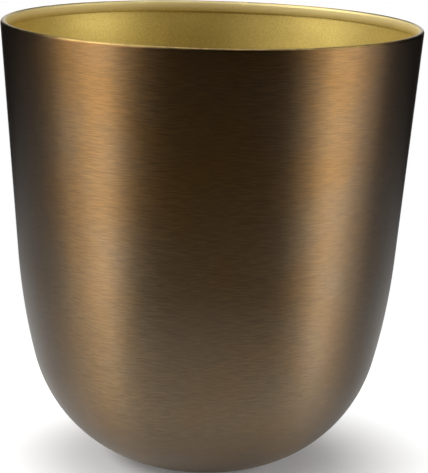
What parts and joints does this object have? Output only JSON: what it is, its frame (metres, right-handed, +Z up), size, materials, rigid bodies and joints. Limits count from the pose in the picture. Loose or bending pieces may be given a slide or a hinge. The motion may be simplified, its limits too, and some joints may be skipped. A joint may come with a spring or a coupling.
{
  "type": "cachepot",
  "caption": "Round-bottomed metal cachepot with a slightly tapering wall, an inward-folded rim and felt pads under a small flat base.",
  "frame": {"origin": "on the pot's axis, in the plane of the four felt pads' undersides, which the pot stands on", "axes": "+Z up along the pot's axis of revolution, towards the open mouth; +X to the right and +Y away from a viewer in front"},
  "size_m": [0.19, 0.19, 0.2025],
  "materials": {
    "antique_brass": "sheet metal, brushed round the pot and darkened to antique brass under a clear lacquer outside; satin gold paint inside",
    "felt": "dark pressed felt, self-adhesive"
  },
  "bodies": {
    "root": {"pot_wall": "antique_brass", "pot_base": "antique_brass", "foot_pad_1": "felt", "foot_pad_2": "felt", "foot_pad_3": "felt", "foot_pad_4": "felt"}
  },
  "joints": []
}
